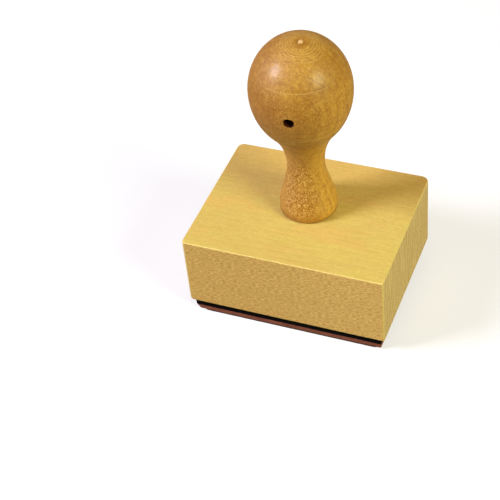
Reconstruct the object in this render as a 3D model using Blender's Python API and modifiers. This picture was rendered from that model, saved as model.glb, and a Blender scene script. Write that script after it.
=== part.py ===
"""A wooden hand stamp: a turned ball handle on a hardwood block, with a cushioned rubber die under it.

Metres, +Z up. X runs along the block's long side and the front is -Y. The origin is the middle of the
printing face, so Z = 0 is the plane that meets the paper.
"""

import math

import bmesh
import bpy
from mathutils import Matrix, Vector

MM = 0.001

# Driving dimensions, in millimetres.
BLOCK_SIZE = (65.0, 50.0, 25.0)
PAD_SIZE = (62.4, 47.8)
PAD_SHIFT_X = -0.2
PAD_CORNER = 0.4
RELIEF_HEIGHT = 1.0
DIE_FLOOR = 1.3
FOAM_THICKNESS = 2.5
FILM_THICKNESS = 0.1
FILM_INSET = 0.3
BOND_GAP = 0.05
GLUE_GAP = 0.15

# How far the trimmed left end of the pad slopes in, going down through each layer.
FOAM_TRIM = 0.5
DIE_TRIM = 1.1

# Heights of the layers, from the paper up.
DIE_TOP = RELIEF_HEIGHT + DIE_FLOOR
LOWER_FILM_Z = DIE_TOP + BOND_GAP
FOAM_Z = LOWER_FILM_Z + FILM_THICKNESS + BOND_GAP
UPPER_FILM_Z = FOAM_Z + FOAM_THICKNESS + BOND_GAP
BLOCK_Z = UPPER_FILM_Z + FILM_THICKNESS + BOND_GAP
BLOCK_TOP = BLOCK_Z + BLOCK_SIZE[2]
HANDLE_Z = BLOCK_TOP + GLUE_GAP

# Roundings of the block's edges, hand-sanded and so not all alike. The upright corners go by their
# sides in X and Y.
CORNER_ROUNDS = {(-1, -1): 1.3, (1, -1): 0.6, (1, 1): 2.5, (-1, 1): 2.2}
CORNER_SEGMENTS = 5
TOP_ROUND = 0.4
BOTTOM_ROUND = 0.5
EDGE_SEGMENTS = 3
BOTTOM_LEFT_ROUND = 1.8
WEAR_STEPS = 4

# The handle, measured up from its foot.
HANDLE_SHIFT_Y = 2.0
FOOT_RADIUS = 9.0
FOOT_EDGE = 0.6
FOOT_TOP = 3.4
FOOT_SLOPE = -0.16
WAIST_RADIUS = 5.85
WAIST_Z = 17.7
BALL_RADIUS = 15.5
BALL_Z = 45.5
BALL_RISE = 17.5
BALL_DROP = 18.9
BALL_JOIN_ANGLE = 0.78
PIP_RADIUS = 0.9
PIP_HEIGHT = 0.3
GROOVE_RADIUS = 1.8
GROOVE_DEPTH = 0.15
TURNING_STEPS = 48
BALL_POINTS = 20
NECK_POINTS = 12
SKIRT_POINTS = 9
FOOT_POINTS = 3

# The mark that shows which way is up: a blind hole drilled into the front of the ball.
MARK_RADIUS = 1.45
MARK_DEPTH = 6.0
MARK_Z = 44.5
MARK_TURN = math.radians(6.5)

# The countersunk wood screw that draws the handle down on the block.
SCREW_LENGTH = 38.0
HEAD_RADIUS = 3.9
HEAD_RIM = 0.4
HEAD_HEIGHT = 2.8
HEAD_SINK = 0.4
SHANK_RADIUS = 1.9
THREAD_RADIUS = 1.95
THREAD_ROOT = 1.3
THREAD_PITCH = 1.8
THREAD_LENGTH = 25.0
TIP_LENGTH = 3.0
RECESS_WIDTH = 0.9
RECESS_SPAN = 4.2
RECESS_DEPTH = 1.8
SCREW_CLEARANCE = 0.35
SCREW_Z = BLOCK_Z + HEAD_SINK
PILOT_DEPTH = SCREW_Z + SCREW_LENGTH + 1.0 - HANDLE_Z
DRILL_POINT = 0.6
CUTTER_OVERRUN = 1.0

# The raised ornament on the die, inside a field as large as the die's lower face.
RELIEF_FIELD = (PAD_SIZE[0] - FOAM_TRIM - DIE_TRIM, PAD_SIZE[1])
RELIEF_SHIFT_X = PAD_SHIFT_X + (FOAM_TRIM + DIE_TRIM) / 2
FRAME_INSET = 0.5
FRAME_LINE = 1.2
FRAME_CORNER = 2.2
INNER_FRAME_INSET = 3.2
INNER_FRAME_LINE = 0.5
ROSETTE_RADIUS = 14.0
SIDE_ROSETTE_RADIUS = 5.2
SIDE_ROSETTE_X = 20.6
LOZENGE_ROW_Y = 18.2
LOZENGE_COUNT = 9
LOZENGE_STEP = 5.8
RELIEF_ROOT = 0.3
ARC_POINTS = 5
PETAL_POINTS = 6


def clear_scene():
    for obj in list(bpy.data.objects):
        bpy.data.objects.remove(obj)


def new_collection(name):
    collection = bpy.data.collections.new(name)
    bpy.context.scene.collection.children.link(collection)
    return collection


def new_material(name, colour, roughness, metallic=0.0):
    material = bpy.data.materials.new(name)
    material.use_nodes = True
    shader = material.node_tree.nodes["Principled BSDF"]
    shader.inputs["Base Color"].default_value = (*colour, 1.0)
    shader.inputs["Roughness"].default_value = roughness
    shader.inputs["Metallic"].default_value = metallic
    material.diffuse_color = (*colour, 1.0)
    return material


def object_from_bmesh(name, bm, collection, material=None):
    mesh = bpy.data.meshes.new(name)
    bm.to_mesh(mesh)
    bm.free()
    obj = bpy.data.objects.new(name, mesh)
    collection.objects.link(obj)
    if material:
        mesh.materials.append(material)
    return obj


def mark_cutter(obj):
    obj.hide_render = True
    obj.display_type = "WIRE"


def cut(obj, cutter):
    modifier = obj.modifiers.new("cut_" + cutter.name, "BOOLEAN")
    modifier.operation = "DIFFERENCE"
    modifier.object = cutter


def shade_round(obj):
    obj.data.shade_smooth()
    obj.data.set_sharp_from_angle(angle=math.radians(30))


def box_bmesh(size, bottom):
    """A box in millimetres, centred on the Z axis, standing at the height `bottom`."""
    bm = bmesh.new()
    bmesh.ops.create_cube(bm, size=1.0)
    bmesh.ops.scale(bm, vec=Vector(size) * MM, verts=bm.verts)
    bmesh.ops.translate(bm, vec=(0, 0, (bottom + size[2] / 2) * MM), verts=bm.verts)
    return bm


def upright_edges(bm):
    return [e for e in bm.edges if abs((e.verts[0].co - e.verts[1].co).z) > 0.01 * MM]


def bevel(bm, edges, radius, segments):
    bmesh.ops.bevel(
        bm, geom=edges, offset=radius * MM, segments=segments, profile=0.5, affect="EDGES"
    )


def pad_layer(name, bottom, height, left_trims, inset, collection, material):
    """One flat layer of the pad, its left end cut back by left_trims at the top and at the bottom."""
    bm = box_bmesh((PAD_SIZE[0] - 2 * inset, PAD_SIZE[1] - 2 * inset, height), bottom)
    middle = (bottom + height / 2) * MM
    for vert in bm.verts:
        if vert.co.x < 0:
            vert.co.x += left_trims[0 if vert.co.z > middle else 1] * MM
    bevel(bm, upright_edges(bm), PAD_CORNER, EDGE_SEGMENTS)
    bmesh.ops.translate(bm, vec=(PAD_SHIFT_X * MM, 0, 0), verts=bm.verts)
    return object_from_bmesh(name, bm, collection, material)


def turned(name, profile, collection, material=None, steps=TURNING_STEPS):
    """A solid turned from (radius, height) points in millimetres, listed down the outer side."""
    mesh = bpy.data.meshes.new(name)
    points = [(radius * MM, 0.0, height * MM) for radius, height in profile]
    mesh.from_pydata(points, [(i, i + 1) for i in range(len(points) - 1)], [])
    obj = bpy.data.objects.new(name, mesh)
    collection.objects.link(obj)
    if material:
        mesh.materials.append(material)
    screw = obj.modifiers.new("turning", "SCREW")
    screw.steps = steps
    screw.render_steps = steps
    screw.use_merge_vertices = True
    screw.merge_threshold = 0.00001
    screw.use_smooth_shade = True
    return obj


def blend(start, end, start_slope, end_slope, count):
    """A smooth sweep between two (radius, height) points, with slopes in radius per height."""
    rise = end[1] - start[1]
    points = []
    for i in range(count + 1):
        t = i / count
        radius = (
            (2 * t**3 - 3 * t**2 + 1) * start[0]
            + (t**3 - 2 * t**2 + t) * start_slope * rise
            + (3 * t**2 - 2 * t**3) * end[0]
            + (t**3 - t**2) * end_slope * rise
        )
        points.append((radius, start[1] + t * rise))
    return points


def ball_point(angle):
    """A point on the ball's outline, which is taller above its widest circle than a round ball."""
    height = BALL_RISE if angle > 0 else BALL_DROP
    return (BALL_RADIUS * math.cos(angle), BALL_Z + height * math.sin(angle))


def ball_angle_at(radius):
    return math.acos(radius / BALL_RADIUS)


def pip_profile():
    """The small pip that parting off leaves on top of the ball, in its shallow ring groove."""
    groove_bottom = ball_point(ball_angle_at(PIP_RADIUS))[1] - GROOVE_DEPTH
    return [
        (0.0, groove_bottom + GROOVE_DEPTH + PIP_HEIGHT),
        (PIP_RADIUS * 0.7, groove_bottom + GROOVE_DEPTH + PIP_HEIGHT * 0.7),
        (PIP_RADIUS, groove_bottom),
        (GROOVE_RADIUS * 0.7, groove_bottom),
    ]


def pilot_profile(radius):
    """A blind hole up the handle's axis, from its foot to a drill point."""
    return [(radius, 0.0), (radius, PILOT_DEPTH - radius * DRILL_POINT), (0.0, PILOT_DEPTH)]


def handle_profile():
    """The handle's outline, from the pip down to the foot, then up the pilot hole."""
    start = ball_angle_at(GROOVE_RADIUS)
    sweep = -BALL_JOIN_ANGLE - start
    points = pip_profile()
    points += [ball_point(start + sweep * i / BALL_POINTS) for i in range(BALL_POINTS + 1)]
    ball_slope = BALL_RADIUS / BALL_DROP * math.tan(BALL_JOIN_ANGLE)
    waist = (WAIST_RADIUS, WAIST_Z)
    points += blend(ball_point(-BALL_JOIN_ANGLE), waist, ball_slope, 0.0, NECK_POINTS)[1:]
    points += blend(waist, (FOOT_RADIUS, FOOT_TOP), 0.0, FOOT_SLOPE, SKIRT_POINTS)[1:]
    for i in range(FOOT_POINTS + 1):
        angle = math.pi / 2 * i / FOOT_POINTS
        inset = FOOT_EDGE * (1 - math.cos(angle))
        points.append((FOOT_RADIUS - inset, FOOT_EDGE * (1 - math.sin(angle))))
    return points + pilot_profile(SHANK_RADIUS + SCREW_CLEARANCE)


def make_handle(collection, cutters, material):
    handle = turned("handle", handle_profile(), collection, material)
    handle.location = (0, HANDLE_SHIFT_Y * MM, HANDLE_Z * MM)
    handle.rotation_euler = (0, 0, MARK_TURN)
    bm = bmesh.new()
    bmesh.ops.create_cone(
        bm,
        cap_ends=True,
        segments=20,
        radius1=MARK_RADIUS * MM,
        radius2=MARK_RADIUS * MM,
        depth=2 * MARK_DEPTH * MM,
    )
    bmesh.ops.rotate(bm, matrix=Matrix.Rotation(math.pi / 2, 3, "X"), verts=bm.verts)
    cutter = object_from_bmesh("mark_drill", bm, cutters)
    cutter.parent = handle
    cutter.location = (0, -BALL_RADIUS * MM, MARK_Z * MM)
    mark_cutter(cutter)
    cut(handle, cutter)


def corner_edge(bm, side_x, side_y):
    """The upright edge of the block at this corner."""
    for edge in upright_edges(bm):
        middle = (edge.verts[0].co + edge.verts[1].co) / 2
        if middle.x * side_x > 0 and middle.y * side_y > 0:
            return edge


def level_edges(bm, height):
    return [e for e in bm.edges if all(abs(v.co.z - height) < 0.01 * MM for v in e.verts)]


def wear_left_end(bm):
    """Rounds the bottom edge of the left end further than the others."""
    radius = BOTTOM_LEFT_ROUND * MM
    centre_x = -BLOCK_SIZE[0] / 2 * MM + radius
    for i in range(WEAR_STEPS):
        step = radius * i / WEAR_STEPS
        for point, normal in (((centre_x - step, 0, 0), (1, 0, 0)), ((0, 0, radius - step), (0, 0, 1))):
            everything = bm.verts[:] + bm.edges[:] + bm.faces[:]
            bmesh.ops.bisect_plane(bm, geom=everything, plane_co=point, plane_no=normal)
    for vert in bm.verts:
        out = Vector((vert.co.x - centre_x, 0, vert.co.z - radius))
        if out.x < 0 and out.z < 0 and out.length > radius:
            vert.co += out.normalized() * radius - out


def make_block(collection, cutters, material):
    bm = box_bmesh(BLOCK_SIZE, 0.0)
    for (side_x, side_y), radius in CORNER_ROUNDS.items():
        bevel(bm, [corner_edge(bm, side_x, side_y)], radius, CORNER_SEGMENTS)
    bevel(bm, level_edges(bm, BLOCK_SIZE[2] * MM), TOP_ROUND, EDGE_SEGMENTS)
    bevel(bm, level_edges(bm, 0.0), BOTTOM_ROUND, EDGE_SEGMENTS)
    wear_left_end(bm)
    block = object_from_bmesh("mount_block", bm, collection, material)
    block.location = (0, 0, BLOCK_Z * MM)
    cut(block, screw_hole(cutters))
    shade_round(block)


def screw_hole(cutters):
    """The clearance hole through the block, countersunk from below."""
    sink_radius = HEAD_RADIUS + SCREW_CLEARANCE
    hole_radius = SHANK_RADIUS + SCREW_CLEARANCE
    cone_start = HEAD_SINK + HEAD_RIM
    profile = [
        (0.0, BLOCK_SIZE[2] + CUTTER_OVERRUN),
        (hole_radius, BLOCK_SIZE[2] + CUTTER_OVERRUN),
        (hole_radius, HEAD_SINK + HEAD_HEIGHT + SCREW_CLEARANCE),
        (sink_radius, cone_start + SCREW_CLEARANCE),
        (sink_radius, -CUTTER_OVERRUN),
        (0.0, -CUTTER_OVERRUN),
    ]
    hole = turned("screw_hole", profile, cutters, steps=32)
    hole.location = (0, HANDLE_SHIFT_Y * MM, BLOCK_Z * MM)
    mark_cutter(hole)
    return hole


def screw_profile():
    """Countersunk head at the bottom, plain shank, and ridges for the thread up to the point."""
    thread_start = SCREW_LENGTH - THREAD_LENGTH
    ridges = int((SCREW_LENGTH - TIP_LENGTH - thread_start) / THREAD_PITCH)
    points = [(0.0, SCREW_LENGTH), (THREAD_ROOT * 0.8, SCREW_LENGTH - TIP_LENGTH)]
    for i in range(ridges):
        top = SCREW_LENGTH - TIP_LENGTH - i * THREAD_PITCH
        points.append((THREAD_ROOT, top - 0.3 * THREAD_PITCH))
        points.append((THREAD_RADIUS, top - 0.6 * THREAD_PITCH))
        points.append((THREAD_ROOT, top - 0.9 * THREAD_PITCH))
    last = points[-1][1]
    points.append((SHANK_RADIUS, last - 0.5))
    points.append((SHANK_RADIUS, HEAD_HEIGHT))
    points.append((HEAD_RADIUS, HEAD_RIM))
    points.append((HEAD_RADIUS, 0.0))
    points.append((0.0, 0.0))
    return points


def recess_cutters(cutters):
    """Two crossed bars, which cut the cross recess that a driver bit fits."""
    bars = []
    for name, size in (
        ("recess_bar_x", (RECESS_SPAN, RECESS_WIDTH, 2 * RECESS_DEPTH)),
        ("recess_bar_y", (RECESS_WIDTH, RECESS_SPAN, 2 * RECESS_DEPTH)),
    ):
        bar = object_from_bmesh(name, box_bmesh(size, -RECESS_DEPTH), cutters)
        bar.location = (0, HANDLE_SHIFT_Y * MM, SCREW_Z * MM)
        mark_cutter(bar)
        bars.append(bar)
    return bars


def make_screw(collection, cutters, material):
    screw = turned("handle_screw", screw_profile(), collection, material, steps=24)
    screw.location = (0, HANDLE_SHIFT_Y * MM, SCREW_Z * MM)
    for bar in recess_cutters(cutters):
        cut(screw, bar)


def make_pad(collection, foam, film):
    """The foam cushion with its two adhesive films."""
    no_trim = (0.0, 0.0)
    foam_end = (FOAM_TRIM, FOAM_TRIM)
    pad_layer(
        "upper_adhesive_film", UPPER_FILM_Z, FILM_THICKNESS, no_trim, FILM_INSET, collection, film
    )
    pad_layer("foam_cushion", FOAM_Z, FOAM_THICKNESS, (0.0, FOAM_TRIM), 0.0, collection, foam)
    pad_layer(
        "lower_adhesive_film", LOWER_FILM_Z, FILM_THICKNESS, foam_end, FILM_INSET, collection, film
    )


def rounded_rectangle(width, depth, corner):
    points = []
    for quarter in range(4):
        sign_x = 1 if quarter in (0, 3) else -1
        sign_y = 1 if quarter in (0, 1) else -1
        centre_x = sign_x * (width / 2 - corner)
        centre_y = sign_y * (depth / 2 - corner)
        for i in range(ARC_POINTS + 1):
            angle = math.pi / 2 * (quarter + i / ARC_POINTS)
            points.append((centre_x + corner * math.cos(angle), centre_y + corner * math.sin(angle)))
    return points


def frame_outlines(inset, line, corner):
    """The outer and inner outlines of a rectangular frame line, centred on the relief."""
    width, depth = (side - 2 * inset for side in RELIEF_FIELD)
    outer = rounded_rectangle(width, depth, corner)
    inner = rounded_rectangle(width - 2 * line, depth - 2 * line, max(corner - line, 0.3))
    return [outer, inner]


def ring_outline(radius, centre, count=36):
    return [
        (
            centre[0] + radius * math.cos(2 * math.pi * i / count),
            centre[1] + radius * math.sin(2 * math.pi * i / count),
        )
        for i in range(count)
    ]


def petal_outline(inner, outer, half_width, turn, centre):
    """A leaf shape that points away from `centre`, between two radii."""
    points = []
    for side in (1, -1):
        for i in range(PETAL_POINTS):
            t = i / PETAL_POINTS
            along = t if side > 0 else 1 - t
            radius = inner + (outer - inner) * along
            across = side * half_width * math.sin(math.pi * along) ** 0.8
            x = radius * math.cos(turn) - across * math.sin(turn)
            y = radius * math.sin(turn) + across * math.cos(turn)
            points.append((centre[0] + x, centre[1] + y))
    return points


def rosette_outlines(radius, centre, petals):
    outlines = [
        ring_outline(radius, centre),
        ring_outline(radius * 0.93, centre),
        ring_outline(radius * 0.15, centre, 12),
    ]
    for i in range(petals):
        turn = 2 * math.pi * i / petals
        half_width = radius * 1.35 / petals
        outlines.append(petal_outline(radius * 0.24, radius * 0.86, half_width, turn, centre))
    return outlines


def lozenge_outline(centre, half_length, half_width):
    x, y = centre
    return [(x + half_length, y), (x, y + half_width), (x - half_length, y), (x, y - half_width)]


def ornament_outlines():
    outlines = frame_outlines(FRAME_INSET, FRAME_LINE, FRAME_CORNER)
    outlines += frame_outlines(INNER_FRAME_INSET, INNER_FRAME_LINE, FRAME_CORNER)
    outlines += rosette_outlines(ROSETTE_RADIUS, (0, 0), 12)
    for side in (-1, 1):
        outlines += rosette_outlines(SIDE_ROSETTE_RADIUS, (side * SIDE_ROSETTE_X, 0), 8)
        for i in range(LOZENGE_COUNT):
            x = (i - (LOZENGE_COUNT - 1) / 2) * LOZENGE_STEP
            outlines.append(lozenge_outline((x, side * LOZENGE_ROW_Y), 1.9, 0.9))
    return outlines


def outline_solid(name, outlines, bottom, height, collection):
    """Flat outlines, holes included, extruded to one mesh in millimetres from `bottom`."""
    curve = bpy.data.curves.new(name, "CURVE")
    curve.dimensions = "2D"
    curve.fill_mode = "BOTH"
    curve.extrude = height / 2 * MM
    for outline in outlines:
        spline = curve.splines.new("POLY")
        spline.points.add(len(outline) - 1)
        for point, (x, y) in zip(spline.points, outline):
            point.co = (x * MM, y * MM, 0, 1)
        spline.use_cyclic_u = True
    flat = bpy.data.objects.new(name + "_outline", curve)
    collection.objects.link(flat)
    bpy.context.view_layer.update()
    graph = bpy.context.evaluated_depsgraph_get()
    mesh = bpy.data.meshes.new_from_object(flat.evaluated_get(graph))
    bpy.data.objects.remove(flat)
    bm = bmesh.new()
    bm.from_mesh(mesh)
    bmesh.ops.remove_doubles(bm, verts=bm.verts, dist=0.000001)
    bmesh.ops.translate(bm, vec=(0, 0, (bottom + height / 2) * MM), verts=bm.verts)
    bpy.data.meshes.remove(mesh)
    return object_from_bmesh(name, bm, collection)


def make_die(collection, cutters, material):
    """The die: a floor of rubber with the raised ornament under it, in one piece."""
    trims = (FOAM_TRIM, FOAM_TRIM + DIE_TRIM)
    die = pad_layer("rubber_die", RELIEF_HEIGHT, DIE_FLOOR, trims, 0.0, collection, material)
    relief = outline_solid(
        "relief", ornament_outlines(), 0.0, RELIEF_HEIGHT + RELIEF_ROOT, cutters
    )
    mark_cutter(relief)
    join = die.modifiers.new("relief", "BOOLEAN")
    join.operation = "UNION"
    join.object = relief
    relief.location = (RELIEF_SHIFT_X * MM, 0, 0)


def main():
    clear_scene()
    stamp = new_collection("rubber_stamp")
    cutters = new_collection("cutters")
    beech = new_material("lacquered_beech", (0.56, 0.28, 0.07), 0.4)
    block_wood = new_material("pale_hardwood", (0.72, 0.52, 0.2), 0.55)
    rubber = new_material("red_rubber", (0.25, 0.06, 0.035), 0.6)
    foam = new_material("black_foam", (0.012, 0.012, 0.012), 0.9)
    film = new_material("adhesive_film", (0.75, 0.72, 0.6), 0.4)
    steel = new_material("zinc_steel", (0.62, 0.6, 0.52), 0.35, 1.0)

    make_handle(stamp, cutters, beech)
    make_block(stamp, cutters, block_wood)
    make_screw(stamp, cutters, steel)
    make_pad(stamp, foam, film)
    make_die(stamp, cutters, rubber)


main()
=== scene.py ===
"""The looks of a wooden hand stamp: lacquered handle, pale block, foam cushion and rubber die.

Meshes are built in millimetres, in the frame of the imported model, and scaled to metres at the end.
Materials work in millimetres too.
"""

import math

import bmesh
import bpy
from mathutils import Matrix, Vector
from mathutils import noise as lattice


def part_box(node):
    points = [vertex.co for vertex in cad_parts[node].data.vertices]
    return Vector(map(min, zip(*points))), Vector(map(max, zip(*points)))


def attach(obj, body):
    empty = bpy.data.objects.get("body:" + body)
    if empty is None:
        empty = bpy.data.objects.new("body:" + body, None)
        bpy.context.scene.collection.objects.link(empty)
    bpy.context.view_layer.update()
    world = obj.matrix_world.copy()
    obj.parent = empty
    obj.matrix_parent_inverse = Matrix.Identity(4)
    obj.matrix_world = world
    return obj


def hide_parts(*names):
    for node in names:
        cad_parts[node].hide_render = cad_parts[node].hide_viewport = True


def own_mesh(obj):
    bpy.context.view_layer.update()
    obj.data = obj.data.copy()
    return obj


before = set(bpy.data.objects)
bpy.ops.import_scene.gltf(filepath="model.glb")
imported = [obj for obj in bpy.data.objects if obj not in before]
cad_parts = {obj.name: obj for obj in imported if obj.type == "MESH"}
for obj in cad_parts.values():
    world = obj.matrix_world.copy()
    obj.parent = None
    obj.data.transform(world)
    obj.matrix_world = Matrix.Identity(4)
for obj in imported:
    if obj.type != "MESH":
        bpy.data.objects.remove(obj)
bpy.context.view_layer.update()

MM = 0.001


def box_mm(node):
    low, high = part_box(node)
    return Vector(low) / MM, Vector(high) / MM


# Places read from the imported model, in millimetres.
HANDLE_LOW, HANDLE_HIGH = box_mm("handle")
BLOCK_LOW, BLOCK_HIGH = box_mm("mount_block")
FOAM_LOW, FOAM_HIGH = box_mm("foam_cushion")
SCREW_TOP = box_mm("handle_screw")[1].z

# Camera: the point it looks at, how far off it stands, and how it is turned.
CAMERA_AIM = (-12.3, -18.6, 26.4)
CAMERA_DISTANCE = 430.0
CAMERA_AZIMUTH = math.radians(25.75)
CAMERA_ELEVATION = math.radians(43.46)
CAMERA_ROLL = math.radians(6.62)
CAMERA_LENS = 100.4
CAMERA_SENSOR = 36.0

# Light from all round: its colour from above and from below, and the way it fades along an axis.
LIGHT_FROM_ABOVE = (0.170, 0.105, 0.063)
LIGHT_FROM_BELOW = (0.30, 0.205, 0.130)
WORLD_AXIS = (0.0, -0.5, 0.87)
FADE_START = -0.3
FADE_END = 0.5
BACKDROP = (1.0, 1.0, 1.0)

# Softboxes: azimuth and elevation in degrees, width in metres, power in watts, and colour.
LEFT_SOFTBOX = (-58.5, 38.0, 0.4, 13.0, (0.99, 0.96, 1.0))
RIGHT_SOFTBOX = (69.0, 33.0, 0.5, 10.7, (1.0, 0.98, 0.58))
BACK_SOFTBOX = (195.0, 6.0, 0.9, 4.5, (1.0, 0.97, 0.93))
SOFTBOX_HEIGHT = 0.4
SOFTBOX_DISTANCE = 1.2

# The paper: its half width, how far it lies under the die, and how it glows near by and far off.
FLOOR_REACH = 3000.0
FLOOR_GAP = 0.03
FLOOR_GLOW = 0.56
FAR_GLOW = 1.0
GLOW_START = 250.0
GLOW_END = 650.0

# The handle's outline, as heights above its foot.
HANDLE_FOOT = Vector((0.0, (HANDLE_LOW.y + HANDLE_HIGH.y) / 2, HANDLE_LOW.z))
FOOT_RADIUS = 9.0
FOOT_EDGE = 0.6
FOOT_TOP = 3.4
FOOT_SLOPE = -0.16
WAIST_RADIUS = 5.85
WAIST_Z = 17.7
BALL_RADIUS = (HANDLE_HIGH.x - HANDLE_LOW.x) / 2
BALL_Z = 45.5
BALL_RISE = 17.5
BALL_DROP = 18.9
BALL_JOIN_ANGLE = 0.78
PIP_RADIUS = 0.9
PIP_HEIGHT = 0.3
PIP_SHIFT = Vector((1.45, -0.85, 0.0))
PIP_BLEND = 10.0
GROOVE_RADIUS = 1.8
GROOVE_DEPTH = 0.15
PILOT_RADIUS = 2.25
PILOT_DEPTH = SCREW_TOP + 1.0 - HANDLE_LOW.z
PILOT_CONE = 1.3
HANDLE_SEGMENTS = 160
BALL_ROWS = 110
NECK_ROWS = 46
SKIRT_ROWS = 40
FOOT_ROWS = 6

# The drilled mark in the front of the ball, and its chipped rim.
MARK_RADIUS = 1.6
MARK_DEPTH = 6.0
MARK_Z = 44.5
MARK_TURN = math.radians(6.5)
MARK_FLARE = 0.16
MARK_CHIP = 0.13
MARK_SEGMENTS = 40
CHIP_SCALE = 1.3

# The block's rounded edges, the upright ones by their sides in X and Y, and the screw's hole.
CORNER_ROUNDS = {(-1, -1): 1.3, (1, -1): 0.6, (1, 1): 2.5, (-1, 1): 2.2}
CORNER_SEGMENTS = 8
TOP_ROUND = 0.4
BOTTOM_ROUND = 0.5
EDGE_SEGMENTS = 4
BOTTOM_LEFT_ROUND = 1.8
WEAR_STEPS = 8
SINK_RADIUS = 4.25
SINK_DEPTH = 1.15
SINK_CONE = 3.55
SINK_SEGMENTS = 48

# The foam: its cut sides are pitted by opened cells and pull in a little at mid height.
FOAM_CORNER = 0.4
FOAM_CORNER_STEPS = 4
FOAM_TRIM = 0.5
FOAM_STEP = 0.22
FOAM_ROWS = 12
FOAM_CELL = 0.42
PIT_REACH = 0.55
PIT_DEPTH = 0.16
FOAM_WAIST = 0.1

# How high the ink stains the die.
INK_HEIGHT = 0.5

# The handle's figure: how far the pith lies behind it, and the growth rings' spacing and phase.
HANDLE_PITH = 75.0
HANDLE_RING = 2.3
HANDLE_RING_PHASE = 0.35
HANDLE_TOP = HANDLE_HIGH.z - HANDLE_LOW.z

# The block's figure: how far the pith lies in front of it, and its growth rings.
BLOCK_PITH = 72.0
BLOCK_RING = 2.4
BLOCK_RING_PHASE = 0.2

# Colours of the handle's beech, in linear RGB.
HONEY = (0.55, 0.30, 0.034)
DEEP_HONEY = (0.47, 0.235, 0.025)
RED_HONEY = (0.52, 0.245, 0.055)
LIT_SIDE_HONEY = (0.69, 0.40, 0.055)
FRONT_SHADE_BROWN = (0.38, 0.15, 0.012)
DARK_BLOTCH = (0.38, 0.155, 0.014)
PALE_BLOTCH = (0.74, 0.44, 0.085)
DARK_FIBRE = (0.36, 0.155, 0.016)
DARK_GRAIN = (0.36, 0.15, 0.016)
PALE_GRAIN = (0.78, 0.47, 0.10)
RING_BROWN = (0.32, 0.13, 0.015)
LINE_BROWN = (0.20, 0.08, 0.012)
DARK_FLECK = (0.32, 0.12, 0.010)
PALE_FLECK = (0.90, 0.60, 0.20)
LATHE_RING = (0.84, 0.60, 0.20)
TOOL_LINE = (0.88, 0.62, 0.22)
DARK_TOOLING = (0.32, 0.14, 0.035)
PALE_TOOLING = (0.76, 0.50, 0.19)
GROOVE_SHADE = (0.34, 0.14, 0.03)
BARE_PIP = (0.82, 0.56, 0.26)
FOOT_SHADE = (0.32, 0.13, 0.015)
MARK_SHADE = (0.07, 0.016, 0.005)

# Colours of the block's hardwood.
TOP_STRAW = (0.73, 0.60, 0.165)
TOP_TAN = (0.70, 0.55, 0.165)
WARM_PATCH = (0.78, 0.52, 0.165)
BACK_SHADOW_TAN = (0.75, 0.50, 0.165)
SIDE_TAN = (0.79, 0.54, 0.18)
SIDE_STRAW = (0.87, 0.615, 0.215)
END_GRAIN = (0.78, 0.645, 0.34)
YEAR_BROWN = (0.47, 0.33, 0.11)
PORE_BROWN = (0.44, 0.31, 0.12)
END_GLINT = (0.96, 0.82, 0.42)
BLOCK_FIBRE = (0.58, 0.40, 0.09)
BLOCK_GRIT = (0.48, 0.28, 0.06)
DARK_DASH = (0.52, 0.30, 0.08)
PALE_DASH = (0.98, 0.76, 0.30)
EDGE_HIGHLIGHT = (0.98, 0.84, 0.36)

# Colours of the foam, the die, the screw, the films and the paper.
FOAM_BLACK = (0.0035, 0.0035, 0.004)
FOAM_CELL_BLACK = (0.009, 0.009, 0.01)
RUBBER_BROWN = (0.20, 0.062, 0.040)
RUBBER_RED = (0.29, 0.098, 0.066)
RUBBER_SPECK = (0.11, 0.03, 0.02)
INK_BLACK = (0.008, 0.008, 0.010)
ZINC_GREY = (0.60, 0.59, 0.52)
ZINC_YELLOW = (0.70, 0.66, 0.52)
FILM_CLEAR = (0.70, 0.66, 0.50)
FILM_YELLOW = (0.58, 0.52, 0.34)
PAPER_DARK = (0.46, 0.48, 0.56)
PAPER_PALE = (0.49, 0.51, 0.59)


def mesh_object(name, bm):
    """Turns a bmesh in millimetres into an object in metres."""
    bmesh.ops.recalc_face_normals(bm, faces=bm.faces)
    bmesh.ops.scale(bm, vec=(MM, MM, MM), verts=bm.verts)
    mesh = bpy.data.meshes.new(name)
    bm.to_mesh(mesh)
    bm.free()
    obj = bpy.data.objects.new(name, mesh)
    bpy.context.scene.collection.objects.link(obj)
    return obj


def apply_modifiers(obj):
    graph = bpy.context.evaluated_depsgraph_get()
    mesh = bpy.data.meshes.new_from_object(obj.evaluated_get(graph))
    obj.modifiers.clear()
    obj.data = mesh


def cut_away(obj, cutter):
    """Cuts the cutter's volume from the object and deletes the cutter."""
    modifier = obj.modifiers.new("cut", "BOOLEAN")
    modifier.operation = "DIFFERENCE"
    modifier.object = cutter
    bpy.context.view_layer.update()
    apply_modifiers(obj)
    bpy.data.objects.remove(cutter)


def shade_round(obj, angle=35):
    obj.data.shade_smooth()
    obj.data.set_sharp_from_angle(angle=math.radians(angle))


def ring_of(bm, radius, height, segments):
    """One turned circle of points, or a single point on the axis."""
    if radius == 0:
        return [bm.verts.new((0, 0, height))]
    turns = [2 * math.pi * i / segments for i in range(segments)]
    return [bm.verts.new((radius * math.cos(a), radius * math.sin(a), height)) for a in turns]


def lathe(outline, segments):
    """A closed solid turned from (radius, height) points that start and end on the axis."""
    bm = bmesh.new()
    rings = [ring_of(bm, radius, height, segments) for radius, height in outline]
    for upper, lower in zip(rings, rings[1:]):
        for i in range(segments):
            corners = (upper[i % len(upper)], lower[i % len(lower)])
            corners += (lower[(i + 1) % len(lower)], upper[(i + 1) % len(upper)])
            bm.faces.new(list(dict.fromkeys(corners)))
    return bm


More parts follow.
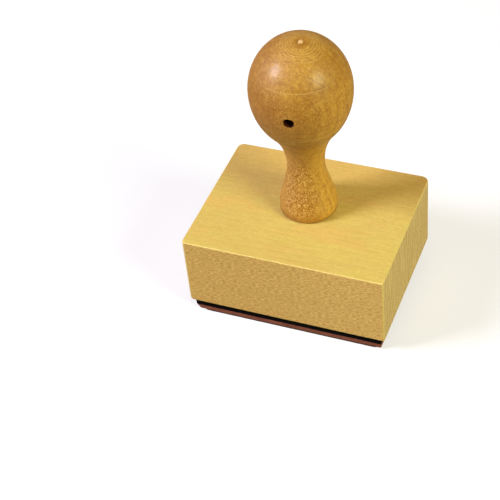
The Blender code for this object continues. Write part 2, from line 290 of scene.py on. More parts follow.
def sweep(start, end, start_slope, end_slope, count):
    """A smooth run between two (radius, height) points, with slopes in radius per height."""
    rise = end[1] - start[1]
    points = []
    for i in range(count + 1):
        t = i / count
        radius = (
            (2 * t**3 - 3 * t**2 + 1) * start[0]
            + (t**3 - 2 * t**2 + t) * start_slope * rise
            + (3 * t**2 - 2 * t**3) * end[0]
            + (t**3 - t**2) * end_slope * rise
        )
        points.append((radius, start[1] + t * rise))
    return points


def ball_point(angle):
    """A point of the ball's outline, at an angle up from its middle: it is longer below."""
    height = BALL_RISE if angle > 0 else BALL_DROP
    return (BALL_RADIUS * math.cos(angle), BALL_Z + height * math.sin(angle))


def pip_outline():
    """The pip on top of the ball and the floor of the groove round it."""
    surface = ball_point(math.acos(PIP_RADIUS / BALL_RADIUS))[1]
    top = surface + PIP_HEIGHT
    floor = surface - GROOVE_DEPTH
    dome = [(PIP_RADIUS * math.sin(a), floor + (top - floor) * math.cos(a)) for a in dome_angles()]
    return [(0.0, top)] + dome + [(PIP_RADIUS * 1.1, floor), (GROOVE_RADIUS * 0.8, floor + 0.02)]


def dome_angles():
    return [math.radians(angle) for angle in (20, 40, 60, 78)]


def handle_outline():
    """Down the handle from the pip to the foot, then up the pilot hole."""
    start = math.acos(GROOVE_RADIUS / BALL_RADIUS)
    run = -BALL_JOIN_ANGLE - start
    points = pip_outline()
    points += [ball_point(start + run * i / BALL_ROWS) for i in range(BALL_ROWS + 1)]
    ball_slope = BALL_RADIUS / BALL_DROP * math.tan(BALL_JOIN_ANGLE)
    waist = (WAIST_RADIUS, WAIST_Z)
    points += sweep(ball_point(-BALL_JOIN_ANGLE), waist, ball_slope, 0.0, NECK_ROWS)[1:]
    points += sweep(waist, (FOOT_RADIUS, FOOT_TOP), 0.0, FOOT_SLOPE, SKIRT_ROWS)[1:]
    for i in range(FOOT_ROWS + 1):
        angle = math.pi / 2 * i / FOOT_ROWS
        inset = FOOT_EDGE * (1 - math.cos(angle))
        points.append((FOOT_RADIUS - inset, FOOT_EDGE * (1 - math.sin(angle))))
    points += [(PILOT_RADIUS, 0.0), (PILOT_RADIUS, PILOT_DEPTH - PILOT_CONE)]
    return points + [(0.0, PILOT_DEPTH)]


def mark_drill():
    """The drill that cuts the mark: straight, then flared and chipped where it leaves the ball."""
    outline = [
        (0.0, -1.0),
        (MARK_RADIUS, 0.0),
        (MARK_RADIUS, MARK_DEPTH - 0.45),
        (MARK_RADIUS + MARK_FLARE * 0.4, MARK_DEPTH - 0.15),
        (MARK_RADIUS + MARK_FLARE, MARK_DEPTH + 0.05),
        (MARK_RADIUS + 2 * MARK_FLARE, MARK_DEPTH + 0.6),
        (0.0, MARK_DEPTH + 0.6),
    ]
    bm = lathe(outline, MARK_SEGMENTS)
    for vert in bm.verts:
        if vert.co.z > MARK_DEPTH - 0.5:
            chip = lattice.noise(vert.co * CHIP_SCALE)
            vert.co.x *= 1 + MARK_CHIP * chip
            vert.co.y *= 1 + MARK_CHIP * chip
    outward = Matrix.Rotation(MARK_TURN, 4, "Z") @ Matrix.Rotation(math.pi / 2, 4, "X")
    reach = Matrix.Translation((0, 0, BALL_RADIUS - MARK_DEPTH))
    place = Matrix.Translation(HANDLE_FOOT + Vector((0, 0, MARK_Z)))
    bmesh.ops.transform(bm, matrix=place @ outward @ reach, verts=bm.verts)
    return mesh_object("mark_drill", bm)


def ball_height(radius):
    """Height of the ball's upper half this far from the axis."""
    return BALL_Z + BALL_RISE * math.sqrt(1 - (radius / BALL_RADIUS) ** 2)


def shift_pip(bm):
    """Slides the pip off the axis over the ball: it was parted off and sanded by hand."""
    for vert in bm.verts:
        radius = vert.co.xy.length
        if vert.co.z < BALL_Z or radius > PIP_BLEND:
            continue
        stand = vert.co.z - ball_height(radius)
        vert.co += PIP_SHIFT * (1 - (radius / PIP_BLEND) ** 2) ** 2
        vert.co.z = ball_height(vert.co.xy.length) + stand


def make_handle(material):
    bm = lathe(handle_outline(), HANDLE_SEGMENTS)
    shift_pip(bm)
    bmesh.ops.translate(bm, vec=HANDLE_FOOT, verts=bm.verts)
    handle = mesh_object("turned_handle", bm)
    cut_away(handle, mark_drill())
    shade_round(handle)
    handle.data.materials.clear()
    handle.data.materials.append(material)
    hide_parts("handle")
    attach(handle, "mount")


def put_in_order(bm):
    """Rebuilds the solid with its points and faces ordered by place, so that runs do not differ."""
    points = sorted(vert.co[:] for vert in bm.verts)
    index = {point: i for i, point in enumerate(points)}
    loops = []
    for face in bm.faces:
        loop = [index[vert.co[:]] for vert in face.verts]
        first = loop.index(min(loop))
        loops.append(loop[first:] + loop[:first])
    bm.clear()
    verts = [bm.verts.new(point) for point in points]
    for loop in sorted(loops):
        bm.faces.new([verts[i] for i in loop])
    bm.normal_update()


def bevel(bm, edges, radius, segments):
    """Rounds these edges. The bevel leaves its faces in an order that varies from run to run."""
    bmesh.ops.bevel(bm, geom=edges, offset=radius, segments=segments, profile=0.5, affect="EDGES")
    put_in_order(bm)


def corner_edge(bm, side_x, side_y):
    """The upright edge of the block at this corner."""
    for edge in bm.edges:
        middle = (edge.verts[0].co + edge.verts[1].co) / 2
        upright = abs((edge.verts[0].co - edge.verts[1].co).z) > 0.01
        if upright and middle.x * side_x > 0 and middle.y * side_y > 0:
            return edge


def level_edges(bm, height):
    return [e for e in bm.edges if all(abs(v.co.z - height) < 0.01 for v in e.verts)]


def wear_left_end(bm):
    """Rounds the bottom edge of the left end further than the others."""
    centre_x = BLOCK_LOW.x + BOTTOM_LEFT_ROUND
    centre_z = BLOCK_LOW.z + BOTTOM_LEFT_ROUND
    for i in range(WEAR_STEPS):
        step = BOTTOM_LEFT_ROUND * i / WEAR_STEPS
        cuts = (((centre_x - step, 0, 0), (1, 0, 0)), ((0, 0, centre_z - step), (0, 0, 1)))
        for point, normal in cuts:
            everything = bm.verts[:] + bm.edges[:] + bm.faces[:]
            bmesh.ops.bisect_plane(bm, geom=everything, plane_co=point, plane_no=normal)
    for vert in bm.verts:
        out = Vector((vert.co.x - centre_x, 0, vert.co.z - centre_z))
        if out.x < 0 and out.z < 0 and out.length > BOTTOM_LEFT_ROUND:
            vert.co += out.normalized() * BOTTOM_LEFT_ROUND - out


def screw_drill():
    """The screw's clearance hole, countersunk from below."""
    outline = [
        (0.0, BLOCK_HIGH.z + 1.0),
        (PILOT_RADIUS, BLOCK_HIGH.z + 1.0),
        (PILOT_RADIUS, BLOCK_LOW.z + SINK_CONE),
        (SINK_RADIUS, BLOCK_LOW.z + SINK_DEPTH),
        (SINK_RADIUS, BLOCK_LOW.z - 1.0),
        (0.0, BLOCK_LOW.z - 1.0),
    ]
    bm = lathe(outline, SINK_SEGMENTS)
    bmesh.ops.translate(bm, vec=(0, HANDLE_FOOT.y, 0), verts=bm.verts)
    return mesh_object("screw_drill", bm)


def make_block(material):
    bm = bmesh.new()
    bmesh.ops.create_cube(bm, size=1.0)
    bmesh.ops.scale(bm, vec=BLOCK_HIGH - BLOCK_LOW, verts=bm.verts)
    bmesh.ops.translate(bm, vec=(BLOCK_LOW + BLOCK_HIGH) / 2, verts=bm.verts)
    for (side_x, side_y), radius in CORNER_ROUNDS.items():
        bevel(bm, [corner_edge(bm, side_x, side_y)], radius, CORNER_SEGMENTS)
    bevel(bm, level_edges(bm, BLOCK_HIGH.z), TOP_ROUND, EDGE_SEGMENTS)
    bevel(bm, level_edges(bm, BLOCK_LOW.z), BOTTOM_ROUND, EDGE_SEGMENTS)
    wear_left_end(bm)
    block = mesh_object("wood_block", bm)
    cut_away(block, screw_drill())
    shade_round(block)
    block.modifiers.new("flat_faces", "WEIGHTED_NORMAL").keep_sharp = True
    apply_modifiers(block)
    block.data.materials.clear()
    block.data.materials.append(material)
    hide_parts("mount_block")
    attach(block, "mount")


def foam_loop():
    """Points round the foam at its upper face, each with the way out of it, evenly spaced."""
    half_x = (FOAM_HIGH.x - FOAM_LOW.x) / 2 - FOAM_CORNER
    half_y = (FOAM_HIGH.y - FOAM_LOW.y) / 2 - FOAM_CORNER
    middle = (FOAM_LOW + FOAM_HIGH) / 2
    corners = [(half_x, half_y), (-half_x, half_y), (-half_x, -half_y), (half_x, -half_y)]
    loop = []
    for quarter, (x, y) in enumerate(corners):
        centre = Vector((middle.x + x, middle.y + y, 0))
        for i in range(FOAM_CORNER_STEPS + 1):
            angle = math.pi / 2 * (quarter + i / FOAM_CORNER_STEPS)
            out = Vector((math.cos(angle), math.sin(angle), 0))
            loop.append((centre + out * FOAM_CORNER, out))
        after = corners[(quarter + 1) % 4]
        run = Vector((middle.x + after[0], middle.y + after[1], 0)) - centre
        count = round(run.length / FOAM_STEP)
        loop += [(loop[-1][0] + run * i / count, out) for i in range(1, count)]
    return loop


def foam_inset(point, rise):
    """How far in the foam's side stands here: its hollow middle, and the cells the knife opened."""
    hollow = FOAM_WAIST * math.sin(math.pi * rise)
    nearest = lattice.voronoi(point / FOAM_CELL)[0][0]
    pit = PIT_DEPTH * max(0.0, 1 - nearest / PIT_REACH)
    inner = min(1.0, 4 * rise, 4 * (1 - rise))
    return hollow + pit * inner


def foam_row(bm, loop, rise):
    """The loop of points at this part of the foam's height, its left end trimmed on a slope."""
    height = FOAM_LOW.z + (FOAM_HIGH.z - FOAM_LOW.z) * rise
    row = []
    for point, out in loop:
        place = Vector((point.x, point.y, height))
        place -= out * foam_inset(place, rise)
        if point.x < 0:
            place.x += FOAM_TRIM * (1 - rise) * min(1.0, (point.x / FOAM_LOW.x) ** 8)
        row.append(bm.verts.new(place))
    return row


def make_foam(material):
    bm = bmesh.new()
    loop = foam_loop()
    rows = [foam_row(bm, loop, i / FOAM_ROWS) for i in range(FOAM_ROWS + 1)]
    for lower, upper in zip(rows, rows[1:]):
        for i in range(len(lower)):
            j = (i + 1) % len(lower)
            bm.faces.new((lower[i], lower[j], upper[j], upper[i]))
    bm.faces.new(rows[0])
    bm.faces.new(rows[-1])
    foam = mesh_object("foam_pad", bm)
    shade_round(foam, 60)
    foam.data.materials.append(material)
    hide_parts("foam_cushion")
    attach(foam, "die_pad")
    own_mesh(foam)


class Paint:
    """One material's nodes, written as calls that each add a node and give back its output."""

    def __init__(self, name):
        self.material = bpy.data.materials.new(name)
        self.material.use_nodes = True
        self.tree = self.material.node_tree
        self.shader = self.tree.nodes["Principled BSDF"]
        coordinates = self.add("ShaderNodeTexCoord")
        metres = coordinates.outputs["Object"]
        self.place = self.vector("MULTIPLY", metres, (1 / MM, 1 / MM, 1 / MM))
        self.facing = coordinates.outputs["Normal"]

    def add(self, kind, sockets=None, **settings):
        node = self.tree.nodes.new(kind)
        for name, value in settings.items():
            setattr(node, name, value)
        for key, value in (sockets or {}).items():
            self.feed(node.inputs[key], value)
        return node

    def feed(self, socket, value):
        if isinstance(value, bpy.types.NodeSocket):
            self.tree.links.new(value, socket)
        else:
            socket.default_value = value

    def math(self, operation, first, second=0.0):
        node = self.add("ShaderNodeMath", {0: first, 1: second}, operation=operation)
        return node.outputs[0]

    def product(self, *factors):
        result = factors[0]
        for factor in factors[1:]:
            result = self.math("MULTIPLY", result, factor)
        return result

    def vector(self, operation, first, second):
        node = self.add("ShaderNodeVectorMath", {0: first, 1: second}, operation=operation)
        return node.outputs[0]

    def split(self, vector):
        return self.add("ShaderNodeSeparateXYZ", {0: vector}).outputs

    def length(self, x, y):
        squares = self.math("ADD", self.product(x, x), self.product(y, y))
        return self.math("SQRT", squares)

    def ramp(self, value, low, high, first=0.0, last=1.0):
        """Goes smoothly from `first` to `last` as the value goes from low to high."""
        sockets = {"Value": value, "From Min": low, "From Max": high}
        sockets |= {"To Min": first, "To Max": last}
        node = self.add("ShaderNodeMapRange", sockets, interpolation_type="SMOOTHSTEP")
        return node.outputs[0]

    def line(self, value, centre, half_width):
        """1 where the value is at the centre, down to 0 half a width away."""
        away = self.math("ABSOLUTE", self.math("SUBTRACT", value, centre))
        return self.ramp(away, 0.0, half_width, 1.0, 0.0)

    def noise(self, stretch, detail=2.0, roughness=0.5, of=None):
        """Noise with about `stretch` features per millimetre on each axis."""
        place = self.vector("MULTIPLY", of or self.place, stretch)
        sockets = {"Vector": place, "Scale": 1.0, "Detail": detail, "Roughness": roughness}
        return self.add("ShaderNodeTexNoise", sockets).outputs[0]

    def cells(self, stretch):
        """Distance to the nearest of the scattered points, and that point's own random number."""
        place = self.vector("MULTIPLY", self.place, stretch)
        node = self.add("ShaderNodeTexVoronoi", {"Vector": place, "Scale": 1.0})
        return node.outputs["Distance"], self.split(node.outputs["Color"])[0]

    def blend(self, amount, colour, other):
        """The first colour, mixed with this amount of the other."""
        sockets = {0: amount, 6: solid(colour), 7: solid(other)}
        return self.add("ShaderNodeMix", sockets, data_type="RGBA").outputs[2]

    def bump(self, height, distance, normal=None):
        """A bump of this height in millimetres, over an earlier one if given."""
        sockets = {"Height": height, "Distance": distance * MM, "Strength": 1.0}
        if normal:
            sockets["Normal"] = normal
        return self.add("ShaderNodeBump", sockets).outputs[0]

    def specular(self, level):
        self.shader.inputs["Specular IOR Level"].default_value = level

    def finish(self, **sockets):
        """Feeds the shader's sockets, named with _ for a space, and gives back the material."""
        for name, value in sockets.items():
            self.feed(self.shader.inputs[name.replace("_", " ")], value)
        return self.material


def solid(colour):
    """A colour's three numbers with full opacity, or a socket as it is."""
    return (*colour, 1.0) if isinstance(colour, tuple) else colour


def flecks(paint, stretch, of=None):
    """Masks for the dark and the pale flecks of the rays, packed close."""
    ray = paint.noise(stretch, 1.0, 0.5, of)
    return paint.ramp(ray, 0.38, 0.48, 1.0, 0.0), paint.ramp(ray, 0.52, 0.61)


def growth(paint, across, along, wander, spacing, phase):
    """Rises from 0 to 1 through each year's growth, then falls back sharply."""
    years = paint.math("ADD", paint.length(across, along), wander)
    years = paint.math("ADD", paint.math("DIVIDE", years, spacing), phase)
    return paint.math("FRACT", years)


def beech_ground(paint, place, blotch):
    """Honey colour, redder at the left, with blotches and fibres. Painted light makes the right side
    paler, fading towards the top, and painted shade darkens the front of the ball at mid height.
    """
    x, y, z = paint.split(place)
    drift = paint.noise((0.07, 0.07, 0.05), 1.0, of=place)
    colour = paint.blend(paint.ramp(drift, 0.35, 0.65), HONEY, DEEP_HONEY)
    redder = paint.ramp(paint.math("ADD", x, paint.product(drift, 8.0)), -6.0, 10.0, 0.8, 0.0)
    colour = paint.blend(redder, colour, RED_HONEY)
    turn = paint.math("DIVIDE", x, paint.math("MAXIMUM", paint.length(x, y), 1.0))
    # Painted light: the side turned towards +X, where the right softbox falls, is painted paler,
    # fading out up the ball.
    lit_side = paint.product(paint.ramp(turn, 0.3, 0.9, 0.0, 0.9), paint.ramp(z, 47.0, 55.0, 1.0, 0.1))
    colour = paint.blend(lit_side, colour, LIT_SIDE_HONEY)
    # Painted shade: the front of the ball is painted darker at mid height, most of all left of the
    # middle.
    front_shade = paint.product(paint.ramp(z, 44.0, 48.5), paint.ramp(z, 50.5, 54.0, 1.0, 0.0))
    front_shade = paint.product(front_shade, paint.ramp(y, -6.0, -12.0), paint.ramp(turn, -0.1, 0.65, 0.5, 0.0))
    colour = paint.blend(front_shade, colour, FRONT_SHADE_BROWN)
    colour = paint.blend(paint.ramp(blotch, 0.48, 0.68, 0.0, 0.6), colour, DARK_BLOTCH)
    colour = paint.blend(paint.ramp(blotch, 0.3, 0.47, 0.42, 0.0), colour, PALE_BLOTCH)
    fibre = paint.noise((1.5, 1.5, 0.14), 3.0, 0.65, of=place)
    colour = paint.blend(paint.ramp(fibre, 0.5, 0.7, 0.0, 0.4), colour, DARK_FIBRE)
    grain = paint.noise((1.4, 1.4, 0.9), 2.0, 0.6, of=place)
    colour = paint.blend(paint.ramp(grain, 0.5, 0.66, 0.0, 0.4), colour, DARK_GRAIN)
    return paint.blend(paint.ramp(grain, 0.34, 0.5, 0.32, 0.0), colour, PALE_GRAIN)


def beech_growth(paint, place, colour):
    """Growth rings, which show as nested ovals on the front of the ball, and one strong line."""
    x, y, z = paint.split(place)
    wander = paint.product(paint.noise((0.09, 0.09, 0.03), 1.0, of=place), 2.2)
    behind = paint.math("SUBTRACT", y, HANDLE_PITH)
    year = growth(paint, x, behind, wander, HANDLE_RING, HANDLE_RING_PHASE)
    colour = paint.blend(paint.ramp(year, 0.55, 0.98, 0.0, 0.24), colour, RING_BROWN)
    slant = paint.math("SUBTRACT", y, paint.product(x, 0.225))
    line = paint.line(slant, -10.85, 0.17)
    line = paint.product(line, paint.ramp(x, 3.0, 6.0), paint.ramp(z, 53.7, 53.9), 0.6)
    return paint.blend(line, colour, LINE_BROWN)


def beech_flecks(paint, place, colour):
    """Ray flecks: low on the front of the ball, and down the left of the neck to the foot."""
    x, y, z = paint.split(place)
    clump = paint.ramp(paint.noise((0.1, 0.1, 0.08), 1.0, of=place), 0.36, 0.5, 0.25, 1.0)
    in_front = paint.ramp(y, 2.0, -6.0)
    on_ball = paint.product(paint.ramp(z, 38.5, 43.0), paint.ramp(z, 48.0, 54.5, 1.0, 0.2))
    on_ball = paint.product(on_ball, clump, in_front, paint.ramp(x, -9.0, 0.0, 0.3, 0.85))
    aside = paint.math("ADD", x, paint.product(z, 0.13))
    on_foot = paint.product(paint.ramp(aside, 4.0, 8.5, 1.0, 0.15), paint.ramp(z, 1.6, 3.5))
    on_foot = paint.product(on_foot, in_front, paint.ramp(z, 19.0, 27.0, 1.0, 0.0))
    on_foot = paint.product(on_foot, paint.ramp(x, -8.5, -4.0, 0.3, 1.0))
    dark, pale = flecks(paint, (3.2, 3.2, 1.5), of=place)
    dark = paint.product(dark, paint.math("MAXIMUM", on_ball, on_foot), 0.75)
    pale = paint.product(pale, paint.math("MAXIMUM", paint.product(on_ball, 0.5), on_foot), 0.52)
    colour = paint.blend(dark, colour, DARK_FLECK)
    return paint.blend(pale, colour, PALE_FLECK)


def pip_radius(paint, x, y):
    """Distance from the middle of the pip, which stands off the axis."""
    off_x = paint.math("SUBTRACT", x, PIP_SHIFT.x)
    off_y = paint.math("SUBTRACT", y, PIP_SHIFT.y)
    return paint.length(off_x, off_y)


def lathe_rings(paint, place, blotch):
    """Mask for the fine rings round the pip."""
    x, y, z = paint.split(place)
    radius = pip_radius(paint, x, y)
    rings = paint.math("PINGPONG", paint.math("ADD", radius, paint.product(blotch, 0.9)), 0.38)
    crown = paint.product(paint.ramp(radius, 2.0, 3.2), paint.ramp(radius, 5.5, 8.0, 1.0, 0.0))
    return paint.product(paint.ramp(rings, 0.04, 0.34), crown, paint.ramp(z, 54.0, 57.0))


def tool_marks(paint, place, tooling, colour):
    """A pale line a tool left round the ball, a nick, and tool lines, boldest under the ball."""
    x, y, z = paint.split(place)
    line = paint.product(paint.line(z, 53.75, 0.17), paint.ramp(y, -5.0, -10.0, 0.0, 0.42))
    line = paint.product(line, paint.ramp(x, -9.0, -3.0))
    colour = paint.blend(line, colour, TOOL_LINE)
    nick = paint.product(paint.line(z, 54.05, 0.2), paint.line(x, 9.4, 2.6))
    nick = paint.product(nick, paint.ramp(y, -4.0, -6.0), 0.9)
    colour = paint.blend(nick, colour, LINE_BROWN)
    under = paint.math("ADD", paint.product(paint.line(z, 35.0, 9.0), 0.6), 0.08)
    dark = paint.product(under, paint.ramp(tooling, 0.5, 0.6))
    colour = paint.blend(dark, colour, DARK_TOOLING)
    pale = paint.product(under, paint.ramp(tooling, 0.4, 0.49, 0.6, 0.0))
    return paint.blend(pale, colour, PALE_TOOLING)


def pip_and_painted_shade(paint, place, colour):
    """Bare wood on the pip, painted shade in its groove and low on the foot, and painted shade on
    the mark's wall and floor.
    """
    x, y, z = paint.split(place)
    radius = pip_radius(paint, x, y)
    top = paint.ramp(z, HANDLE_TOP - 1.4, HANDLE_TOP - 1.1)
    # Painted shade: the groove round the pip is painted darker.
    groove = paint.product(top, paint.line(radius, 1.25, 0.75))
    colour = paint.blend(paint.product(groove, 0.6), colour, GROOVE_SHADE)
    pip = paint.product(top, paint.ramp(radius, 0.55, 0.85, 1.0, 0.0))
    colour = paint.blend(pip, colour, BARE_PIP)
    # Painted shade: the foot is painted darker towards the block it stands on, reaching higher on
    # the left.
    low = paint.math("SUBTRACT", z, paint.ramp(x, 2.0, -5.0, 0.0, 1.0))
    colour = paint.blend(paint.ramp(low, 0.2, 1.9, 0.75, 0.0), colour, FOOT_SHADE)
    # Painted shade: the wall and floor of the drilled mark are painted nearly black.
    return paint.blend(mark_inside(paint, x, y, z), colour, MARK_SHADE)


def honey_beech():
    """The handle: turned beech under satin lacquer."""
    paint = Paint("honey_beech")
    place = paint.vector("SUBTRACT", paint.place, tuple(HANDLE_FOOT))
    blotch = paint.noise((0.45, 0.45, 0.3), 4.0, 0.72, of=place)
    rings = lathe_rings(paint, place, blotch)
    tooling = paint.noise((0.03, 0.03, 1.7), 3.0, 0.75, of=place)

    colour = beech_ground(paint, place, blotch)
    colour = beech_growth(paint, place, colour)
    colour = beech_flecks(paint, place, colour)
    colour = paint.blend(paint.product(rings, 0.3), colour, LATHE_RING)
    colour = tool_marks(paint, place, tooling, colour)
    colour = pip_and_painted_shade(paint, place, colour)

    mottle = paint.noise((1.7, 1.7, 1.5), 3.0, 0.7, of=place)
    relief = paint.math("ADD", paint.product(tooling, 0.5), paint.product(rings, 0.3))
    bump = paint.bump(relief, 0.02)
    bump = paint.bump(mottle, 0.25, bump)
    paint.specular(0.5)
    return paint.finish(
        Base_Color=colour,
        Roughness=paint.ramp(mottle, 0.35, 0.65, 0.3, 0.56),
        Normal=bump,
        Coat_Weight=0.3,
        Coat_Roughness=0.25,
    )


def mark_inside(paint, x, y, z):
    """Mask for the wall and floor of the drilled mark, starting just under the ball's surface."""
    sine, cosine = math.sin(MARK_TURN), math.cos(MARK_TURN)
    across = paint.math("ADD", paint.product(x, cosine), paint.product(y, sine))
    out = paint.math("SUBTRACT", paint.product(x, sine), paint.product(y, cosine))
    away = paint.length(across, paint.math("SUBTRACT", z, MARK_Z))
    near = paint.ramp(away, MARK_RADIUS + 0.15, MARK_RADIUS + 0.45, 1.0, 0.0)
    under = paint.ramp(out, BALL_RADIUS - 0.45, BALL_RADIUS - 0.2, 1.0, 0.0)
    in_front = paint.ramp(out, BALL_RADIUS - MARK_DEPTH - 1.5, BALL_RADIUS - MARK_DEPTH - 1.0)
    return paint.product(near, under, in_front)


def hardwood_ground(paint, place, end, long_side):
    """Straw colour, warmer in patches, with painted shadow browning the top towards the back, and
    browner on the sides and the ends.
    """
    x, y, _ = place
    drift = paint.noise((0.03, 0.06, 0.06), 2.0)
    colour = paint.blend(paint.ramp(drift, 0.35, 0.65), TOP_STRAW, TOP_TAN)
    warm = paint.noise((0.05, 0.11, 0.11), 3.0, 0.6)
    colour = paint.blend(paint.ramp(warm, 0.48, 0.68, 0.0, 0.6), colour, WARM_PATCH)
    # Painted shadow: the top is painted browner towards the back, where the handle's shadows fall.
    redder = paint.ramp(paint.math("ADD", y, paint.product(warm, 12.0)), 4.0, 26.0, 0.0, 0.75)
    colour = paint.blend(redder, colour, BACK_SHADOW_TAN)
    side = paint.blend(paint.ramp(x, -15.0, 32.0), SIDE_TAN, SIDE_STRAW)
    colour = paint.blend(long_side, colour, side)
    return paint.blend(end, colour, END_GRAIN)


def hardwood_growth(paint, place, end, colour):
    """Growth rings: faint lines along the top, and bands with pores on the ends, where pale streaks
    are a painted glint.
    """
    _, y, z = place
    wander = paint.product(paint.noise((0.015, 0.06, 0.06), 2.0), 5.0)
    across = paint.math("ADD", y, BLOCK_PITH)
    along = paint.math("SUBTRACT", z, BLOCK_HIGH.z)
    year = growth(paint, across, along, wander, BLOCK_RING, BLOCK_RING_PHASE)
    depth = paint.math("ADD", paint.product(end, 0.38), 0.08)
    colour = paint.blend(paint.product(paint.ramp(year, 0.2, 0.97), depth), colour, YEAR_BROWN)
    pores = paint.ramp(paint.noise((0.05, 2.6, 1.3), 3.0, 0.7), 0.48, 0.62)
    colour = paint.blend(paint.product(pores, end, 0.5), colour, PORE_BROWN)
    # Painted glint: pale streaks painted across the end grain.
    rays = paint.ramp(paint.noise((0.05, 1.2, 0.1), 2.0, 0.5), 0.54, 0.66)
    return paint.blend(paint.product(rays, end, 0.4), colour, END_GLINT)


def hardwood_speckle(paint, fibre, grit, long_side, colour):
    """Fibres, speckle and short flecks, boldest on the long sides."""
    colour = paint.blend(paint.ramp(fibre, 0.46, 0.66, 0.0, 0.26), colour, BLOCK_FIBRE)
    roughen = paint.math("ADD", paint.product(long_side, 0.46), 0.16)
    roughen = paint.product(paint.ramp(grit, 0.45, 0.6), roughen)
    colour = paint.blend(roughen, colour, BLOCK_GRIT)
    region = paint.math("ADD", paint.product(long_side, 0.7), 0.2)
    dark, pale = flecks(paint, (0.8, 2.6, 2.6))
    colour = paint.blend(paint.product(dark, region, 0.35), colour, DARK_DASH)
    return paint.blend(paint.product(pale, region, 0.4), colour, PALE_DASH)


def pale_hardwood():
    """The block: grain along X, growth rings seen end on at its left and right ends."""
    paint = Paint("pale_hardwood")
    place = paint.split(paint.place)
    sides = [paint.math("ABSOLUTE", part) for part in paint.split(paint.facing)]
    end = paint.ramp(sides[0], 0.75, 0.97)
    long_side = paint.ramp(sides[1], 0.75, 0.97)
    fibre = paint.noise((0.14, 1.2, 1.2), 3.0, 0.65)
    grit = paint.noise((0.8, 3.0, 3.0), 3.0, 0.7)

    colour = hardwood_ground(paint, place, end, long_side)
    colour = hardwood_growth(paint, place, end, colour)
    colour = hardwood_speckle(paint, fibre, grit, long_side, colour)

    # Painted highlight: the rounded edges are painted paler, patchy with the grit.
    flat = paint.math("MAXIMUM", paint.math("MAXIMUM", sides[0], sides[1]), sides[2])
    wear_and_highlight = paint.ramp(flat, 0.86, 0.995, 1.0, 0.0)
    wear_and_highlight = paint.product(wear_and_highlight, paint.ramp(grit, 0.35, 0.55, 1.0, 0.5), 0.75)
    colour = paint.blend(wear_and_highlight, colour, EDGE_HIGHLIGHT)

    bump = paint.bump(fibre, 0.04)
    bump = paint.bump(grit, 0.06, bump)
    roughness = paint.ramp(grit, 0.3, 0.7, 0.5, 0.66)
    paint.specular(0.3)
    return paint.finish(Base_Color=colour, Roughness=roughness, Normal=bump)


def black_foam():
    """Matt black foam, with the shades of its cut cells."""
    paint = Paint("black_foam")
    distance, pick = paint.cells((2.4, 2.4, 2.4))
    colour = paint.blend(paint.ramp(pick, 0.2, 0.9, 0.0, 0.6), FOAM_BLACK, FOAM_CELL_BLACK)
    bump = paint.bump(paint.ramp(distance, 0.1, 0.6), 0.08)
    roughness = paint.ramp(pick, 0.0, 1.0, 0.85, 1.0)
    paint.specular(0.05)
    return paint.finish(Base_Color=colour, Roughness=roughness, Normal=bump)


def stained_rubber():
    """Red-brown engraved rubber, with ink dried on the printing relief."""
    paint = Paint("stained_rubber")
    height = paint.split(paint.place)[2]
    cloud = paint.noise((0.35, 0.35, 0.8), 3.0, 0.6)
    colour = paint.blend(paint.ramp(cloud, 0.3, 0.7), RUBBER_BROWN, RUBBER_RED)
    speck = paint.noise((5.0, 5.0, 5.0), 2.0, 0.6)
    colour = paint.blend(paint.ramp(speck, 0.55, 0.75, 0.0, 0.5), colour, RUBBER_SPECK)
    level = paint.math("ADD", height, paint.product(cloud, 0.25))
    ink = paint.ramp(level, INK_HEIGHT, INK_HEIGHT + 0.2, 1.0, 0.0)
    wear_and_highlight = paint.ramp(paint.noise((0.8, 0.8, 0.8), 4.0, 0.7), 0.55, 0.72, 1.0, 0.6)
    colour = paint.blend(paint.product(ink, wear_and_highlight), colour, INK_BLACK)
    bump = paint.bump(speck, 0.02)
    bump = paint.bump(cloud, 0.05, bump)
    roughness = paint.ramp(ink, 0.0, 1.0, 0.62, 0.42)
    return paint.finish(Base_Color=colour, Roughness=roughness, Normal=bump)


def zinc_steel():
    """Zinc-plated steel with the faint rings of its forming."""
    paint = Paint("zinc_steel")
    cloud = paint.noise((0.6, 0.6, 0.6), 3.0, 0.6)
    colour = paint.blend(paint.ramp(cloud, 0.35, 0.65), ZINC_GREY, ZINC_YELLOW)
    bump = paint.bump(paint.noise((0.3, 0.3, 9.0), 2.0), 0.01)
    roughness = paint.ramp(cloud, 0.3, 0.7, 0.28, 0.45)
    return paint.finish(Base_Color=colour, Metallic=1.0, Roughness=roughness, Normal=bump)


def adhesive_film():
    """Clear film with glue on both sides, yellowed a little in patches."""
    paint = Paint("adhesive_film")
    cloud = paint.noise((0.15, 0.15, 0.15), 3.0, 0.6)
    colour = paint.blend(paint.ramp(cloud, 0.35, 0.65), FILM_CLEAR, FILM_YELLOW)
    bubbles, pick = paint.cells((0.9, 0.9, 0.9))
    bump = paint.bump(paint.ramp(bubbles, 0.05, 0.25), 0.02)
    roughness = paint.ramp(pick, 0.0, 1.0, 0.25, 0.45)
    return paint.finish(Base_Color=colour, Roughness=roughness, Normal=bump)


def dress(node, material):
    """Gives a carried-over CAD node its material."""
    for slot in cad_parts[node].material_slots:
        slot.material = material


def make_camera():
    data = bpy.data.cameras.new("camera")
    data.lens = CAMERA_LENS
    data.sensor_width = CAMERA_SENSOR
    data.clip_start = 0.01
    camera = bpy.data.objects.new("camera", data)
    bpy.context.scene.collection.objects.link(camera)
    back = direction(CAMERA_AZIMUTH, CAMERA_ELEVATION)
    camera.location = (Vector(CAMERA_AIM) + back * CAMERA_DISTANCE) * MM
    upright = (-back).to_track_quat("-Z", "Y").to_matrix()
    camera.rotation_euler = (upright @ Matrix.Rotation(-CAMERA_ROLL, 3, "Z")).to_euler()
    bpy.context.scene.camera = camera


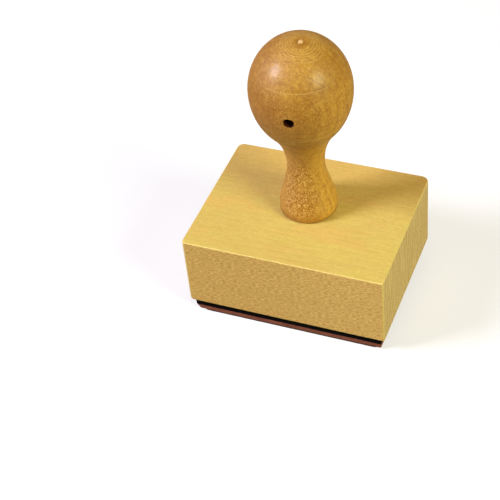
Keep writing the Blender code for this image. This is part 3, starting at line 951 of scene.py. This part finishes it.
def direction(azimuth, elevation):
    """The way out from the object at this azimuth, from the front towards +X, and elevation."""
    level = math.cos(elevation)
    return Vector((math.sin(azimuth) * level, -math.cos(azimuth) * level, math.sin(elevation)))


def paper():
    """White paper that glows, and the more the further off, so that it has no visible end."""
    paint = Paint("floor_paper")
    tooth = paint.noise((1.5, 1.5, 1.5), 3.0, 0.7)
    colour = paint.blend(paint.ramp(tooth, 0.3, 0.7), PAPER_DARK, PAPER_PALE)
    x, y, _ = paint.split(paint.place)
    glow = paint.ramp(paint.length(x, y), GLOW_START, GLOW_END, FLOOR_GLOW, FAR_GLOW)
    paint.shader.inputs["Emission Color"].default_value = (1.0, 1.0, 1.0, 1.0)
    paint.specular(0.0)
    return paint.finish(Base_Color=colour, Roughness=0.85, Emission_Strength=glow)


def make_floor():
    """The paper the stamp stands on. It lights nothing: light from below comes from the world."""
    bm = bmesh.new()
    bmesh.ops.create_grid(bm, x_segments=1, y_segments=1, size=FLOOR_REACH)
    bmesh.ops.translate(bm, vec=(0, 0, -FLOOR_GAP), verts=bm.verts)
    floor = mesh_object("floor", bm)
    floor.visible_diffuse = False
    floor.visible_glossy = False
    floor.visible_shadow = False
    floor.data.materials.append(paper())


def softbox(name, azimuth, elevation, width, power, colour):
    """A rectangular light turned to the object, which the camera does not see."""
    data = bpy.data.lights.new(name, "AREA")
    data.shape = "RECTANGLE"
    data.size = width
    data.size_y = SOFTBOX_HEIGHT
    data.energy = power
    data.color = colour
    light = bpy.data.objects.new(name, data)
    bpy.context.scene.collection.objects.link(light)
    out = direction(math.radians(azimuth), math.radians(elevation))
    light.location = out * SOFTBOX_DISTANCE
    light.rotation_euler = (-out).to_track_quat("-Z", "Y").to_euler()
    light.visible_camera = False
    return light


def make_world():
    """Soft warm light all round, brighter from below and behind, and a white backdrop."""
    world = bpy.data.worlds.new("studio")
    world.use_nodes = True
    tree = world.node_tree
    light = tree.nodes["Background"]
    coordinates = tree.nodes.new("ShaderNodeTexCoord")
    height = tree.nodes.new("ShaderNodeVectorMath")
    height.operation = "DOT_PRODUCT"
    height.inputs[1].default_value = WORLD_AXIS
    fade = tree.nodes.new("ShaderNodeMapRange")
    fade.inputs["From Min"].default_value = FADE_START
    fade.inputs["From Max"].default_value = FADE_END
    colour = tree.nodes.new("ShaderNodeMix")
    colour.data_type = "RGBA"
    colour.inputs[6].default_value = (*LIGHT_FROM_BELOW, 1.0)
    colour.inputs[7].default_value = (*LIGHT_FROM_ABOVE, 1.0)
    tree.links.new(coordinates.outputs["Generated"], height.inputs[0])
    tree.links.new(height.outputs["Value"], fade.inputs["Value"])
    tree.links.new(fade.outputs[0], colour.inputs[0])
    tree.links.new(colour.outputs[2], light.inputs["Color"])
    backdrop = tree.nodes.new("ShaderNodeBackground")
    backdrop.inputs["Color"].default_value = (*BACKDROP, 1.0)
    path = tree.nodes.new("ShaderNodeLightPath")
    choice = tree.nodes.new("ShaderNodeMixShader")
    tree.links.new(path.outputs["Is Camera Ray"], choice.inputs[0])
    tree.links.new(light.outputs[0], choice.inputs[1])
    tree.links.new(backdrop.outputs[0], choice.inputs[2])
    tree.links.new(choice.outputs[0], tree.nodes["World Output"].inputs["Surface"])
    bpy.context.scene.world = world


def make_lights():
    softbox("softbox_left", *LEFT_SOFTBOX)
    softbox("softbox_right", *RIGHT_SOFTBOX)
    fill = softbox("softbox_back", *BACK_SOFTBOX)
    fill.visible_glossy = False
    make_world()
    bpy.context.scene.view_settings.view_transform = "Standard"


make_camera()
make_handle(honey_beech())
make_block(pale_hardwood())
make_foam(black_foam())
dress("rubber_die", stained_rubber())
dress("handle_screw", zinc_steel())
film = adhesive_film()
dress("upper_adhesive_film", film)
dress("lower_adhesive_film", film)
make_floor()
make_lights()
